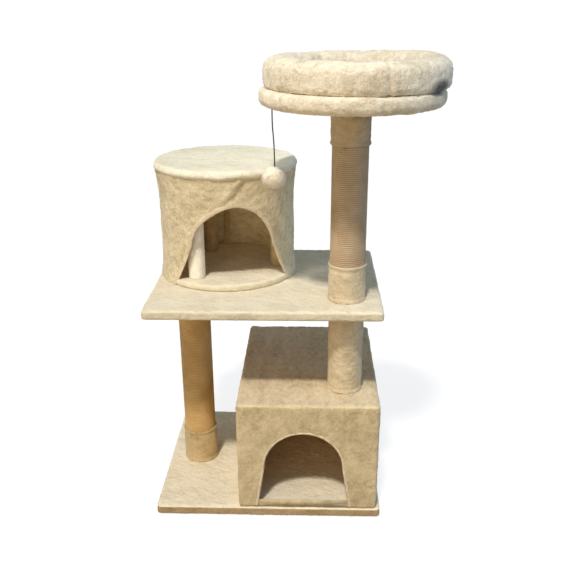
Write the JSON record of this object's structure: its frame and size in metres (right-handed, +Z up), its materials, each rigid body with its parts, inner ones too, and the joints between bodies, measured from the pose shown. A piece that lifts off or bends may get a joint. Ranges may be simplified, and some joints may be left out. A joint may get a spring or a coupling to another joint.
{
  "type": "cat tree",
  "caption": "Plush-covered cat tree: flat base, box condo, sisal posts, platform with a round fabric condo, raised cushioned perch bed and a pompom toy hanging from it.",
  "frame": {"origin": "on the floor, under the middle of the whole tree's bounding box, measured without the hanging toy", "axes": "+Z up, along the posts; -Y the front, where both condo doors face; +X towards the side of the perch"},
  "size_m": [0.6093, 0.5141, 0.984],
  "materials": {
    "plush_cover": "short cream-beige plush pile, glued and stapled over board or padding",
    "plush_wrap": "the same cream-beige plush, wrapped round posts and dowels",
    "sisal": "natural brown sisal cord, wound tightly, matt and fibrous",
    "chipboard": "raw pressed chipboard",
    "cardboard": "spiral-wound brown cardboard tube",
    "black_plastic": "moulded black plastic",
    "zinc_steel": "zinc-plated steel",
    "black_cord": "thin black braided elastic cord",
    "pompom": "fluffy cream pompom, short trimmed pile"
  },
  "bodies": {
    "tree": {"base_cover": "plush_cover", "platform_cover": "plush_cover", "condo_cover": "plush_cover", "condo_floor_mat": "plush_cover", "drum_floor_cover": "plush_cover", "drum_roof_pad": "plush_cover", "drum_wall": "plush_cover", "perch_cover": "plush_cover", "perch_cushion": "plush_cover", "perch_bolster": "plush_cover", "left_post_collar": "plush_wrap", "right_post_sleeve": "plush_wrap", "upper_post_lower_collar": "plush_wrap", "upper_post_upper_collar": "plush_wrap", "drum_left_strut": "plush_wrap", "drum_right_strut": "plush_wrap", "drum_back_strut": "plush_wrap", "left_post_sisal": "sisal", "upper_post_sisal": "sisal", "base_board": "chipboard", "platform_board": "chipboard", "condo_left_panel": "chipboard", "condo_right_panel": "chipboard", "condo_back_panel": "chipboard", "condo_front_panel": "chipboard", "condo_top_panel": "chipboard", "drum_floor_board": "chipboard", "drum_roof_board": "chipboard", "perch_board": "chipboard", "left_post_tube": "cardboard", "right_post_tube": "cardboard", "upper_post_tube": "cardboard", "left_post_lower_plug": "black_plastic", "left_post_upper_plug": "black_plastic", "right_post_lower_plug": "black_plastic", "right_post_upper_plug": "black_plastic", "upper_post_lower_plug": "black_plastic", "upper_post_upper_plug": "black_plastic", "left_post_base_bolt": "zinc_steel", "left_post_base_washer": "zinc_steel", "left_post_platform_bolt": "zinc_steel", "left_post_platform_washer": "zinc_steel", "right_post_bolt": "zinc_steel", "right_post_washer": "zinc_steel", "upper_post_stud": "zinc_steel", "perch_bolt": "zinc_steel", "perch_washer": "zinc_steel", "condo_screw_1": "zinc_steel", "condo_screw_2": "zinc_steel", "condo_screw_3": "zinc_steel", "condo_screw_4": "zinc_steel", "drum_left_screw": "zinc_steel", "drum_right_screw": "zinc_steel", "drum_back_screw": "zinc_steel", "sisal_staple": "zinc_steel", "toy_staple": "zinc_steel"},
    "toy_loop": {"toy_loop": "black_cord"},
    "toy": {"toy_cord": "black_cord", "toy_pompom": "pompom"}
  },
  "joints": [
    {"name": "toy_swing_front_back", "type": "hinge", "parent": "tree", "child": "toy_loop", "pos_m": [-0.035, -0.0765, 0.887], "axis": [1, 0, 0], "range_deg": [-60, 8]},
    {"name": "toy_swing_sideways", "type": "hinge", "parent": "toy_loop", "child": "toy", "pos_m": [-0.035, -0.0765, 0.8837], "axis": [0, 1, 0], "range_deg": [-32, 8]}
  ]
}
